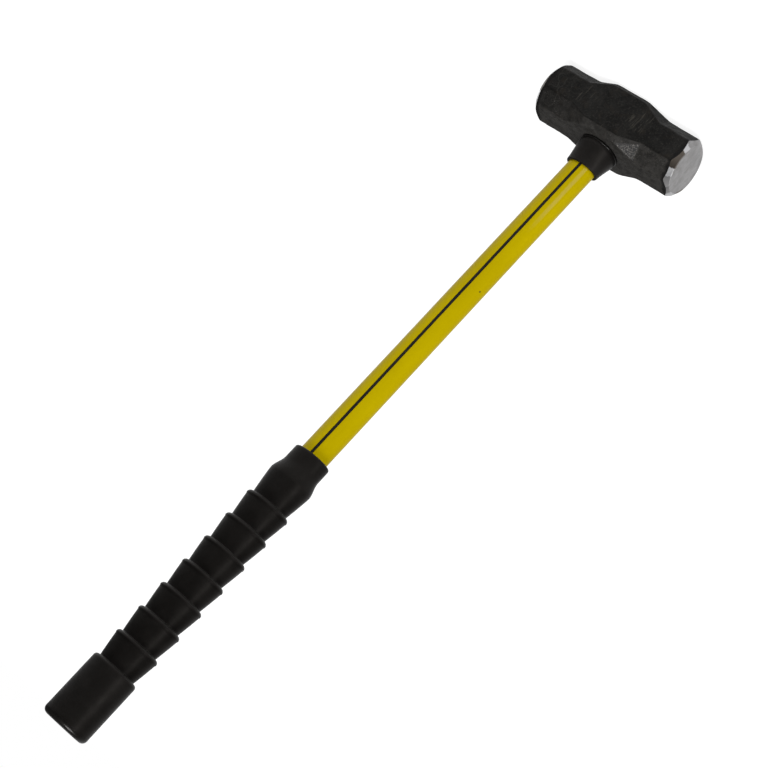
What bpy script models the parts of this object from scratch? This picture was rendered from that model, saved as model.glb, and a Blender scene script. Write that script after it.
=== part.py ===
"""A double-faced sledgehammer, standing on its head.

The origin is under the middle of the head, on the surface it stands on. The
handle rises along +Z, the head strikes along X, and the cheeks face +Y and -Y.
The head is a forging with an oval eye. A fibreglass handle (a rod inside a
moulded jacket) is held in the eye by cast epoxy, a rubber collar covers the
joint, and a ribbed rubber grip covers the far end.
"""

import math

import bmesh
import bpy
from mathutils import Vector

MM = 0.001

# Whole tool
OVERALL_LENGTH = 813 * MM
GAP = 0.3 * MM  # between pieces that touch
CUT_MARGIN = 1.0 * MM  # how far a cutter stands out of the piece it cuts

# Head: an octagonal bar whose corners run out into a nearly square, wider middle round the eye
HEAD_LENGTH = 168.6 * MM
HALF_HEIGHT = 28.8 * MM  # centre to the top or the underside, along Z
BAR_HALF_WIDTH = 29.2 * MM  # centre to either cheek, along Y
BAR_CORNER_CUT = 14.8 * MM  # taken off each corner of the bar, along Y and along Z
BAR_EDGE_RADIUS = 5.0 * MM
MIDDLE_HALF_WIDTH = 34.0 * MM
MIDDLE_CORNER_CUT = 6.0 * MM
MIDDLE_EDGE_RADIUS = 2.5 * MM
MIDDLE_HALF_LENGTH = 12.5 * MM  # the middle keeps its section this far along X
MIDDLE_RUN_OUT = 48.0 * MM  # and has narrowed to the bar here
CORNER_RAMP_START = 20.0 * MM  # between these the corner cut deepens evenly, which leaves a flat triangle
CORNER_RAMP_END = 43.5 * MM
CORNER_RAMP_STATIONS = 6
EDGES_SOFT = 60.0 * MM  # from here on the edges have the bar's radius
EDGE_POINTS = 4  # points round each of the eight edges

# Striking faces: both ends are turned, so the chamfer is a cone
FACE_RADIUS = 26.4 * MM
FACE_EDGE_RADIUS = 1.2 * MM
CHAMFER_DEPTH = 5.5 * MM
CHAMFER_WIDTH = 6.2 * MM
TURNING_RADIUS = 44.0 * MM
TURNING_STEPS = 64

# Eye: an oval hole, a little narrower in the middle than at its mouths
EYE_MOUTH = Vector((19.6, 13.6)) * MM
EYE_WAIST = Vector((18.6, 12.8)) * MM
EYE_CHAMFER = 0.8 * MM
EPOXY_RECESS = 1.6 * MM
DAM_DEPTH = 11.0 * MM

# Handle
JACKET_AT_HEAD = Vector((15.6, 10.2)) * MM
JACKET_AT_BUTT = Vector((16.2, 10.6)) * MM
JACKET_START = 3.4 * MM
JACKET_END = OVERALL_LENGTH - 9.0 * MM
CORE = Vector((11.4, 6.3)) * MM
CORE_START = JACKET_START - 0.8 * MM
STRIPE_WIDTH = 2.6 * MM
STRIPE_THICKNESS = 0.6 * MM
GROOVE_DEPTH = STRIPE_THICKNESS + GAP + 0.12 * MM
STRIPE_HIDDEN = 10.0 * MM  # length tucked under the collar and under the grip

# Collar
COLLAR_RIM = 85.8 * MM
COLLAR_RIM_RADIUS = 0.9 * MM
COLLAR_WALL_AT_RIM = 3.0 * MM
COLLAR_FLARE_END = 64.0 * MM  # it flares down to here, then stands straight
COLLAR_FLARE = Vector((3.1, 7.2)) * MM  # extra half-width there, in X and Y
COLLAR_FLARE_POWER = 1.3
COLLAR_STATIONS = 7
LIP_WIDTH = 0.5 * MM
LIP_HEIGHT = 2.2 * MM
LIP_EDGE_RADIUS = 0.3 * MM

# Grip: how far its surface stands off the jacket
GRIP_START = 478.9 * MM
GRIP_LIP = 4.75 * MM
GRIP_LIP_RADIUS = 2.4 * MM
GRIP_LIP_LENGTH = 16.0 * MM
GRIP_SWELL = 8.5 * MM
GRIP_SWELL_PEAK = 511.5 * MM
GRIP_NECK = 4.8 * MM
GRIP_NECK_POWER = 1.15  # how the swell thins down to the neck
RIB_START = 539.7 * MM
RIB_PITCH = 29.05 * MM
RIB_COUNT = 7
RIB_VALLEY = 4.95 * MM
RIB_HEIGHT = 9.1 * MM
RIB_EDGE_RADIUS = 3.6 * MM
RIB_MIDDLE = (0.55, 0.48)  # at this share of its length a rib has lost this share of its height
WALL_LEAN = 0.4 * MM  # how far the wall before each rib leans from upright
PALM_HEIGHT = 9.5 * MM
BUTT_RADIUS = 5.5 * MM

OVAL_POINTS = 40

HEAD_CENTRE = Vector((0, 0, HALF_HEIGHT))
HEAD_UNDERSIDE = 2 * HALF_HEIGHT


# ---------------------------------------------------------------- helpers


def clear_scene():
    for old in list(bpy.data.objects):
        bpy.data.objects.remove(old, do_unlink=True)


def new_collection(name):
    collection = bpy.data.collections.new(name)
    bpy.context.scene.collection.children.link(collection)
    return collection


def make_material(name, colour, roughness, metallic):
    material = bpy.data.materials.new(name)
    material.use_nodes = True
    shader = material.node_tree.nodes["Principled BSDF"]
    shader.inputs["Base Color"].default_value = (*colour, 1)
    shader.inputs["Roughness"].default_value = roughness
    shader.inputs["Metallic"].default_value = metallic
    material.diffuse_color = (*colour, 1)
    return material


def add_object(name, mesh, collection, material=None):
    obj = bpy.data.objects.new(name, mesh)
    collection.objects.link(obj)
    if material:
        mesh.materials.append(material)
        mesh.shade_smooth()
        mesh.set_sharp_from_angle(angle=math.radians(32))
    else:
        obj.hide_render = True
        obj.display_type = "WIRE"
    return obj


def loft(name, rings, loop=False):
    """A mesh through rings of equal point counts, capped at its ends, or closed into a tube by loop."""
    bm = bmesh.new()
    rows = [[bm.verts.new(point) for point in ring] for ring in rings]
    pairs = list(zip(rows, rows[1:]))
    if loop:
        pairs.append((rows[-1], rows[0]))
    else:
        bm.faces.new(rows[0])
        bm.faces.new(rows[-1])
    count = len(rings[0])
    for lower, upper in pairs:
        for i in range(count):
            j = (i + 1) % count
            bm.faces.new((lower[i], lower[j], upper[j], upper[i]))
    bmesh.ops.recalc_face_normals(bm, faces=bm.faces)
    mesh = bpy.data.meshes.new(name)
    bm.to_mesh(mesh)
    bm.free()
    return mesh


def boolean(obj, cutter, operation):
    modifier = obj.modifiers.new(f"{operation.lower()}_{cutter.name}", "BOOLEAN")
    modifier.operation = operation
    modifier.solver = "EXACT"
    modifier.object = cutter


def oval(half_axes, z):
    """An ellipse across the handle at height z."""
    ring = []
    for i in range(OVAL_POINTS):
        turn = 2 * math.pi * i / OVAL_POINTS
        ring.append(Vector((half_axes.x * math.cos(turn), half_axes.y * math.sin(turn), z)))
    return ring


def grown(half_axes, amount):
    return half_axes + Vector((amount, amount))


def smooth_step(value):
    value = min(max(value, 0), 1)
    return value * value * (3 - 2 * value)


def mix(start, end, share):
    return start + (end - start) * share


# ---------------------------------------------------------------- head


def rounded_octagon(x, half_width, half_height, corner_cut, radius):
    """The section at x: a rectangle with its corners cut off at 45 degrees and its eight edges rounded."""
    corners = []
    for sign_y, sign_z in ((1, 1), (-1, 1), (-1, -1), (1, -1)):
        on_cheek = Vector((sign_y * half_width, sign_z * (half_height - corner_cut)))
        on_flat = Vector((sign_y * (half_width - corner_cut), sign_z * half_height))
        corners += [on_cheek, on_flat] if sign_y * sign_z > 0 else [on_flat, on_cheek]
    ring = []
    for i, corner in enumerate(corners):
        back = (corners[i - 1] - corner).normalized()
        ahead = (corners[(i + 1) % 8] - corner).normalized()
        half_angle = back.angle(ahead) / 2
        centre = corner + (back + ahead).normalized() * radius / math.sin(half_angle)
        reach = radius / math.tan(half_angle)
        first = corner + back * reach - centre
        last = corner + ahead * reach - centre
        for step in range(EDGE_POINTS):
            spoke = mix(first, last, step / (EDGE_POINTS - 1)).normalized() * radius
            ring.append(HEAD_CENTRE + Vector((x, centre.x + spoke.x, centre.y + spoke.y)))
    return ring


def share_towards_middle(x, inner, outer):
    """1 up to inner from the head's middle, 0 past outer, and in proportion between."""
    return min(max((outer - abs(x)) / (outer - inner), 0), 1)


def head_section(x):
    middle = smooth_step(share_towards_middle(x, MIDDLE_HALF_LENGTH, MIDDLE_RUN_OUT))
    uncut = share_towards_middle(x, CORNER_RAMP_START, CORNER_RAMP_END)
    crisp = smooth_step(share_towards_middle(x, CORNER_RAMP_END, EDGES_SOFT))
    return rounded_octagon(
        x,
        mix(BAR_HALF_WIDTH, MIDDLE_HALF_WIDTH, middle),
        HALF_HEIGHT,
        mix(BAR_CORNER_CUT, MIDDLE_CORNER_CUT, uncut),
        mix(BAR_EDGE_RADIUS, MIDDLE_EDGE_RADIUS, crisp),
    )


def head_stations():
    """Where the bar is sectioned along X: closely where it changes, and not along its straight ends."""
    steps = CORNER_RAMP_STATIONS - 1
    ramp = [mix(CORNER_RAMP_START, CORNER_RAMP_END, i / steps) for i in range(CORNER_RAMP_STATIONS)]
    softening = mix(MIDDLE_RUN_OUT, EDGES_SOFT, 0.5)
    right = [MIDDLE_HALF_LENGTH] + ramp + [MIDDLE_RUN_OUT, softening, EDGES_SOFT, HEAD_LENGTH / 2 + GAP]
    return [-x for x in reversed(right)] + [0.0] + right


def turning_cutter(collection):
    """The solid left by turning both ends: flat faces, a small round edge, and a conical chamfer."""
    half = HEAD_LENGTH / 2
    slope = math.atan2(CHAMFER_DEPTH, CHAMFER_WIDTH)
    setback = FACE_EDGE_RADIUS * math.tan(slope / 2)
    centre = Vector((FACE_RADIUS - setback, half - FACE_EDGE_RADIUS))
    upper = [Vector((0, half))]
    for step in range(4):
        turn = slope * step / 3
        upper.append(centre + Vector((math.sin(turn), math.cos(turn))) * FACE_EDGE_RADIUS)
    fall = (TURNING_RADIUS - FACE_RADIUS) * CHAMFER_DEPTH / CHAMFER_WIDTH
    upper.append(Vector((TURNING_RADIUS, half - fall)))
    profile = upper + [Vector((point.x, -point.y)) for point in reversed(upper)]

    mesh = bpy.data.meshes.new("turning")
    edges = [(i, i + 1) for i in range(len(profile) - 1)]
    mesh.from_pydata([(point.x, 0, point.y) for point in profile], edges, [])
    cutter = add_object("turning", mesh, collection)
    cutter.location = HEAD_CENTRE
    cutter.rotation_euler = (0, math.radians(90), 0)
    screw = cutter.modifiers.new("turn", "SCREW")
    screw.steps = TURNING_STEPS
    screw.render_steps = TURNING_STEPS
    screw.use_merge_vertices = True
    screw.merge_threshold = 0.00001
    return cutter


def eye_axes(z):
    """Half-widths of the eye at height z."""
    from_waist = abs(z - HALF_HEIGHT) / HALF_HEIGHT
    return mix(EYE_WAIST, EYE_MOUTH, smooth_step(from_waist))


def eye_heights(start, end, count=7):
    return [mix(start, end, i / (count - 1)) for i in range(count)]


def eye_cutter(collection):
    rings = [oval(grown(EYE_MOUTH, 2 * EYE_CHAMFER), -EYE_CHAMFER)]
    for z in eye_heights(EYE_CHAMFER, HEAD_UNDERSIDE - EYE_CHAMFER):
        rings.append(oval(eye_axes(z), z))
    rings.append(oval(grown(EYE_MOUTH, 2 * EYE_CHAMFER), HEAD_UNDERSIDE + EYE_CHAMFER))
    return add_object("eye", loft("eye", rings), collection)


def build_head(parts, cutters, steel):
    bar = loft("head", [head_section(x) for x in head_stations()])
    head = add_object("head", bar, parts, steel)
    boolean(head, turning_cutter(cutters), "INTERSECT")
    boolean(head, eye_cutter(cutters), "DIFFERENCE")


def build_eye_fill(name, start, end, parts, material):
    """A ring that fills the eye round the handle between two heights."""
    heights = eye_heights(start, end, 5)
    wall = [oval(grown(eye_axes(z), -GAP), z) for z in heights]
    bore = [oval(grown(jacket_axes(z), GAP), z) for z in reversed(heights)]
    add_object(name, loft(name, wall + bore, loop=True), parts, material)


# ---------------------------------------------------------------- handle


def jacket_axes(z):
    """Half-widths of the jacket at height z: it grows slightly towards the butt."""
    return mix(JACKET_AT_HEAD, JACKET_AT_BUTT, z / OVERALL_LENGTH)


def build_core(parts, fibreglass):
    rings = [oval(CORE, CORE_START), oval(CORE, JACKET_END - GAP)]
    add_object("handle_core", loft("handle_core", rings), parts, fibreglass)


def bar_along_handle(name, side, half_width, inner_depth, outer_depth, start, end):
    """A flat bar on one broad side of the jacket, between two depths below its surface."""
    rings = []
    for z in (start, end):
        surface = jacket_axes(z).y
        near = side * (surface - outer_depth)
        far = side * (surface - inner_depth)
        rings.append([(-half_width, near, z), (half_width, near, z), (half_width, far, z), (-half_width, far, z)])
    return loft(name, rings)


def build_jacket_and_stripes(parts, cutters, plastic, black):
    wall = [oval(jacket_axes(z), z) for z in (JACKET_START, JACKET_END)]
    bore = [oval(grown(CORE, GAP), z) for z in (JACKET_END, JACKET_START)]
    jacket = add_object("handle_jacket", loft("handle_jacket", wall + bore, loop=True), parts, plastic)
    start = COLLAR_RIM - STRIPE_HIDDEN
    end = GRIP_START + STRIPE_HIDDEN
    for name, side in (("front", -1), ("back", 1)):
        groove = bar_along_handle(
            f"groove_{name}", side, STRIPE_WIDTH / 2 + GAP, GROOVE_DEPTH, -GROOVE_DEPTH, start - GAP, end + GAP
        )
        boolean(jacket, add_object(f"groove_{name}", groove, cutters), "DIFFERENCE")
        floor = GROOVE_DEPTH - GAP
        stripe = bar_along_handle(
            f"stripe_{name}", side, STRIPE_WIDTH / 2, floor, floor - STRIPE_THICKNESS, start, end
        )
        add_object(f"stripe_{name}", stripe, parts, black)


# ---------------------------------------------------------------- collar


def collar_axes(z, widen=0.0):
    """Half-widths of the collar's body at height z, flaring towards the head."""
    share = max(COLLAR_RIM - z, 0) / (COLLAR_RIM - COLLAR_FLARE_END)
    flare = COLLAR_FLARE * min(share, 1) ** COLLAR_FLARE_POWER
    return grown(jacket_axes(z), COLLAR_WALL_AT_RIM + widen) + flare


def build_collar(parts, cutters, rubber):
    """The collar stands on the head's underside, with a narrow lip round its foot."""
    foot = HEAD_UNDERSIDE + GAP
    lip_top = foot + LIP_HEIGHT
    shoulder = COLLAR_RIM - COLLAR_RIM_RADIUS
    rings = [oval(collar_axes(foot, LIP_WIDTH - LIP_EDGE_RADIUS), foot)]
    rings.append(oval(collar_axes(foot, LIP_WIDTH), foot + LIP_EDGE_RADIUS))
    rings.append(oval(collar_axes(lip_top, LIP_WIDTH), lip_top - LIP_EDGE_RADIUS))
    rings.append(oval(collar_axes(lip_top, LIP_WIDTH - LIP_EDGE_RADIUS), lip_top))
    for i in range(COLLAR_STATIONS):
        z = mix(lip_top, shoulder, i / (COLLAR_STATIONS - 1))
        rings.append(oval(collar_axes(z), z))
    for step in (1, 2, 3):
        bend = math.radians(30 * step)
        inset = COLLAR_RIM_RADIUS * (1 - math.cos(bend))
        rings.append(oval(grown(collar_axes(shoulder), -inset), shoulder + COLLAR_RIM_RADIUS * math.sin(bend)))
    collar = add_object("collar", loft("collar", rings), parts, rubber)
    bore_heights = (foot - CUT_MARGIN, COLLAR_RIM + CUT_MARGIN)
    bore = loft("collar_bore", [oval(grown(jacket_axes(z), GAP), z) for z in bore_heights])
    boolean(collar, add_object("collar_bore", bore, cutters), "DIFFERENCE")


# ---------------------------------------------------------------- grip


def grip_profile():
    """Points (z, distance off the jacket) down the grip's outer surface, from the lip to the butt."""
    points = rounded_wall(GRIP_START, GRIP_LIP, GRIP_LIP_RADIUS)
    rise_start = GRIP_START + GRIP_LIP_LENGTH
    points.append((rise_start, GRIP_LIP))
    for i in range(1, 7):
        share = i / 6
        points.append((mix(rise_start, GRIP_SWELL_PEAK, share), mix(GRIP_LIP, GRIP_SWELL, smooth_step(share))))
    for i in range(1, 6):
        share = i / 5
        height = mix(GRIP_SWELL, GRIP_NECK, share**GRIP_NECK_POWER)
        points.append((mix(GRIP_SWELL_PEAK, RIB_START, share), height))

    for rib in range(RIB_COUNT):
        start = RIB_START + rib * RIB_PITCH
        points += rounded_wall(start + WALL_LEAN, RIB_HEIGHT, RIB_EDGE_RADIUS)
        points.append((start + RIB_PITCH * RIB_MIDDLE[0], mix(RIB_HEIGHT, RIB_VALLEY, RIB_MIDDLE[1])))
        points.append((start + RIB_PITCH, RIB_VALLEY))

    palm_start = RIB_START + RIB_COUNT * RIB_PITCH
    points += rounded_wall(palm_start + WALL_LEAN, PALM_HEIGHT, RIB_EDGE_RADIUS)
    for step in range(6):
        turn = math.radians(18 * step)
        rise = BUTT_RADIUS * math.sin(turn)
        points.append((OVERALL_LENGTH - BUTT_RADIUS + rise, PALM_HEIGHT - BUTT_RADIUS * (1 - math.cos(turn))))
    return points


def rounded_wall(start, height, radius):
    """A wall facing the head, rounded where it meets the surface at the given height."""
    points = []
    for step in range(4):
        turn = math.radians(30 * step)
        points.append((start + radius * (1 - math.cos(turn)), height - radius * (1 - math.sin(turn))))
    return points


def build_grip(parts, cutters, rubber):
    rings = [oval(grown(jacket_axes(z), height), z) for z, height in grip_profile()]
    grip = add_object("grip", loft("grip", rings), parts, rubber)
    pocket_heights = (GRIP_START - GAP, JACKET_END + GAP)
    pocket = loft("grip_pocket", [oval(grown(jacket_axes(z), GAP), z) for z in pocket_heights])
    boolean(grip, add_object("grip_pocket", pocket, cutters), "DIFFERENCE")


def main():
    clear_scene()
    parts = new_collection("sledgehammer")
    cutters = new_collection("cutters")

    steel = make_material("forged_steel", (0.03, 0.029, 0.027), 0.62, 0.6)
    plastic = make_material("yellow_plastic", (0.62, 0.45, 0.01), 0.35, 0.0)
    black_plastic = make_material("black_plastic", (0.02, 0.02, 0.02), 0.5, 0.0)
    fibreglass = make_material("fibreglass", (0.55, 0.5, 0.36), 0.5, 0.0)
    epoxy = make_material("epoxy", (0.09, 0.075, 0.06), 0.4, 0.0)
    foam = make_material("dam_rubber", (0.05, 0.05, 0.05), 0.85, 0.0)
    collar_rubber = make_material("collar_rubber", (0.022, 0.021, 0.02), 0.48, 0.0)
    grip_rubber = make_material("grip_rubber", (0.022, 0.021, 0.022), 0.55, 0.0)

    build_head(parts, cutters, steel)
    dam_start = HEAD_UNDERSIDE - DAM_DEPTH
    build_eye_fill("eye_epoxy", EPOXY_RECESS, dam_start - GAP, parts, epoxy)
    build_eye_fill("eye_dam", dam_start, HEAD_UNDERSIDE - EYE_CHAMFER, parts, foam)
    build_core(parts, fibreglass)
    build_jacket_and_stripes(parts, cutters, plastic, black_plastic)
    build_collar(parts, cutters, collar_rubber)
    build_grip(parts, cutters, grip_rubber)


main()
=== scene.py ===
"""Looks for the sledgehammer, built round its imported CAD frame.

The hammer stands on its head: the head strikes along X, its cheeks face +Y and -Y, and the handle
rises along +Z to the butt. Every shape below is a fine version of the CAD piece it stands for.
"""

import math

import bmesh
import bpy
import numpy as np
from mathutils import Matrix, Vector


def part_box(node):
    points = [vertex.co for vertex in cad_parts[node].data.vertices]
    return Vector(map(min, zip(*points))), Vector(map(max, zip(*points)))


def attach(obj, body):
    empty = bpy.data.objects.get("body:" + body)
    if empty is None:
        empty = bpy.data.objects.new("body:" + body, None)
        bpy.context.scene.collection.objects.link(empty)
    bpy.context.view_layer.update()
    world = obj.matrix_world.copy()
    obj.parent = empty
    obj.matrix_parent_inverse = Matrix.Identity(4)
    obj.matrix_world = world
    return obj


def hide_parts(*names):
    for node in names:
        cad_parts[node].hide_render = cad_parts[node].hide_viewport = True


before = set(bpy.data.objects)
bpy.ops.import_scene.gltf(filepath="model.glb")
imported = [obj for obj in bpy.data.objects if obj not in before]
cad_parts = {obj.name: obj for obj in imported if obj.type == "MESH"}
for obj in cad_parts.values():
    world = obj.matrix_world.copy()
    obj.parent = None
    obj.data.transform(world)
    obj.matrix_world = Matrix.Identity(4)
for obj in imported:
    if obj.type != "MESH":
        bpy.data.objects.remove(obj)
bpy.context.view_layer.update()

MM = 0.001
BODY = "root"
TURN = 2 * math.pi

# ---------------------------------------------------------------- sizes, from the frame

_, head_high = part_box("head")
collar_low, collar_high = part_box("collar")
jacket_low, jacket_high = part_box("handle_jacket")
grip_low, grip_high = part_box("grip")
stripe_low, stripe_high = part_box("stripe_front")
epoxy_low, epoxy_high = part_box("eye_epoxy")

HALF_LENGTH = head_high.x
UNDERSIDE = head_high.z
HALF_HEIGHT = UNDERSIDE / 2
OVERALL = grip_high.z

# Head
BAR_HALF_WIDTH = 29.2 * MM
BAR_CORNER_CUT = 14.8 * MM
BAR_EDGE_RADIUS = 5.0 * MM
MIDDLE_HALF_WIDTH = head_high.y
MIDDLE_CORNER_CUT = 6.0 * MM
MIDDLE_EDGE_RADIUS = 1.5 * MM
MIDDLE_HALF_LENGTH = 12.5 * MM
MIDDLE_RUN_OUT = 48.0 * MM
CORNER_RAMP_START = 20.0 * MM
CORNER_RAMP_END = 43.5 * MM
CORNER_RAMP_EASE = 1.3 * MM
EDGES_SOFT = 60.0 * MM
BODY_END = 76.0 * MM
FACE_RADIUS = 26.4 * MM
FACE_EDGE_RADIUS = 0.7 * MM
CHAMFER_DEPTH = 5.5 * MM
CHAMFER_WIDTH = 6.2 * MM
EYE_MOUTH = np.array((19.6, 13.6)) * MM
EYE_WAIST = np.array((18.6, 12.8)) * MM
EYE_CHAMFER = 0.8 * MM

# Dents left by forging: wavelength in mm, weight and seed of each layer
DENT_DEPTH = 0.42 * MM
DENT_LAYERS = ((22, 0.2, 1), (8, 0.12, 2), (3.2, 0.05, 3))
# They are left out of the collar's seat: the part of the two flats that lies round the eye
SEAT_HALF_LENGTH = 23 * MM
SEAT_HALF_WIDTH = 21 * MM
SEAT_FADE = 0.35
FLAT_FROM = 0.9
FLAT_FADE = 0.06

# Handle
GAP = 0.3 * MM
JACKET_AT_HEAD = np.array((15.6, 10.2)) * MM
JACKET_AT_BUTT = np.array((16.2, 10.6)) * MM
JACKET_BEVEL = 0.5 * MM
CORE = np.array((11.4, 6.3)) * MM
STRIPE_HALF_WIDTH = stripe_high.x
STRIPE_THICKNESS = 0.6 * MM
STRIPE_EDGE_RADIUS = 0.22 * MM
GROOVE_HALF_WIDTH = STRIPE_HALF_WIDTH + GAP
GROOVE_DEPTH = 1.02 * MM
GROOVE_LIP = 0.35 * MM
# The groove's rounded edge: distance out from its wall, in lips, and share of its depth
GROOVE_EDGE = ((1, 0), (0.45, 0.08), (0.12, 0.3), (0, 0.6), (0, 0.97), (-0.4, 1))

# Epoxy
MENISCUS = 0.9 * MM
RIPPLE_DEPTH = 0.08 * MM
RIPPLE_LENGTH = 9 * MM

# Collar
COLLAR_WALL = 3.0 * MM
COLLAR_FLARE = np.array((3.1, 7.2)) * MM
COLLAR_FLARE_END = 64 * MM
COLLAR_FLARE_EASE = 1.3
COLLAR_RIM_RADIUS = 0.9 * MM
COLLAR_FOOT_RADIUS = 0.45 * MM
COLLAR_LIP_WIDTH = 0.5 * MM
COLLAR_LIP_HEIGHT = 2.2 * MM
COLLAR_LIP_RADIUS = 0.5 * MM
COLLAR_NOTCH_HEIGHT = 0.12 * MM
COLLAR_NOTCH_DEPTH = 0.05 * MM
COLLAR_BORE_BEVEL = np.array((0.3, 0.35)) * MM
# Painted shade on the collar next to the head: how far up its foot it reaches, and its fade
COLLAR_PAINTED_SHADE_HEIGHT = 4.2 * MM
COLLAR_PAINTED_SHADE_FADE = 1.4 * MM

# Grip: heights off the jacket, and places along the handle
GRIP_LIP = 4.75 * MM
GRIP_LIP_RADIUS = 2.4 * MM
GRIP_LIP_LENGTH = 16.0 * MM
GRIP_MOUTH_BEVEL = 0.4 * MM
GRIP_SWELL = 8.5 * MM
GRIP_SWELL_PEAK = 511.5 * MM
GRIP_NECK = 4.8 * MM
RIB_START = 539.7 * MM
RIB_PITCH = 29.05 * MM
RIB_COUNT = 7
RIB_VALLEY = 4.95 * MM
RIB_HEIGHT = 9.1 * MM
RIB_EDGE_RADIUS = 3.6 * MM
RIB_BULGE = 0.204 * MM
RIB_FILLET = 0.5 * MM
WALL_LEAN = 0.4 * MM
PALM_HEIGHT = 9.5 * MM
BUTT_RADIUS = 5.5 * MM


def mix(start, end, share):
    return start + (end - start) * share


def smooth_step(value):
    value = np.clip(value, 0, 1)
    return value * value * (3 - 2 * value)


def jacket_axes(z):
    """Half-widths of the jacket at height z."""
    return mix(JACKET_AT_HEAD, JACKET_AT_BUTT, z / OVERALL)


def quarter_turn(steps):
    """(1 - cos, 1 - sin) at even steps through a right angle, both ends included."""
    turns = [math.radians(90 * k / steps) for k in range(steps + 1)]
    return [(1 - math.cos(turn), 1 - math.sin(turn)) for turn in turns]


def waves(points, wavelength, seed, count=28):
    """A smooth bumpy field, about -1 to 1, at points: a sum of plane waves in random directions."""
    rng = np.random.default_rng(seed)
    total = np.zeros(len(points))
    for _ in range(count):
        direction = rng.normal(size=3)
        direction *= TURN / (np.linalg.norm(direction) * wavelength * rng.uniform(0.75, 1.5))
        total += np.cos(points @ direction + rng.uniform(0, TURN))
    return total / math.sqrt(count)


# ---------------------------------------------------------------- meshes


def grid_mesh(name, rows, caps=(None, None), loop=False, attributes=None, slots=None):
    """A closed mesh through rows of points.

    caps are the points that close the two ends, and loop joins the ends to each other instead.
    attributes has a value for each point, and slots a material slot for each row.
    """
    rows = np.asarray(rows)
    count, around = rows.shape[:2]
    points = [rows.reshape(-1, 3)]
    faces = []
    owners = []
    index = np.arange(count * around).reshape(count, around)
    pairs = [(i, i + 1) for i in range(count - 1)]
    if loop:
        pairs.append((count - 1, 0))
    for low, high in pairs:
        a, b = index[low], index[high]
        quads = np.stack((a, np.roll(a, -1), np.roll(b, -1), b), axis=1)
        faces += quads.tolist()
        owners += [low] * around
    for end, cap in zip((0, count - 1), caps):
        if cap is not None:
            tip = sum(len(block) for block in points)
            points.append(np.array([cap]))
            ring = index[end]
            faces += [[int(a), int(b), tip] for a, b in zip(ring, np.roll(ring, -1))]
            owners += [end - (end > 0)] * around
    mesh = bpy.data.meshes.new(name)
    mesh.from_pydata(np.concatenate(points).tolist(), [], faces)
    if slots is not None:
        mesh.polygons.foreach_set("material_index", np.asarray([slots[i] for i in owners], np.int32))
    for key, values in (attributes or {}).items():
        layer = mesh.attributes.new(key, "FLOAT", "POINT")
        padded = np.zeros(len(mesh.vertices), np.float32)
        padded[: count * around] = np.asarray(values, np.float32).ravel()
        layer.data.foreach_set("value", padded)
    face_out(mesh)
    return mesh


def face_out(mesh):
    bm = bmesh.new()
    bm.from_mesh(mesh)
    bmesh.ops.recalc_face_normals(bm, faces=bm.faces)
    bm.to_mesh(mesh)
    bm.free()


def add_piece(name, mesh, materials, replaced, sharp_angle=32):
    for material in materials:
        mesh.materials.append(material)
    mesh.shade_smooth()
    mesh.set_sharp_from_angle(angle=math.radians(sharp_angle))
    piece = bpy.data.objects.new(name, mesh)
    bpy.context.scene.collection.objects.link(piece)
    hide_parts(*replaced)
    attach(piece, BODY)


def ovals(half_axes, heights, around):
    """Rings of an oval: half_axes is one row (x, y) for each height."""
    turn = np.arange(around) * TURN / around
    rows = np.zeros((len(heights), around, 3))
    rows[:, :, 0] = np.outer(half_axes[:, 0], np.cos(turn))
    rows[:, :, 1] = np.outer(half_axes[:, 1], np.sin(turn))
    rows[:, :, 2] = np.asarray(heights)[:, None]
    return rows


def tube_round_jacket(profile, around):
    """Rings at (height, distance off the jacket)."""
    profile = np.asarray(profile)
    axes = np.array([jacket_axes(z) for z in profile[:, 0]]) + profile[:, 1:2]
    return ovals(axes, profile[:, 0], around)


# ---------------------------------------------------------------- head

HEAD_AROUND = 400
CORNER_POINTS = 14
FLAT_POINTS = 30
END_RINGS = 26
MIDDLE_RINGS = 116
NECK_RINGS = 8
CHAMFER_RINGS = 7
FACE_EDGE_RINGS = 5
FACE_RING_RADII = (24, 20, 16, 12, 8, 4)
EYE_AROUND = 120
EYE_RINGS = 24
RAMP_SAMPLES = 9
SETTLING_STEPS = 12
FORGED, GROUND = 0, 1


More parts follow.
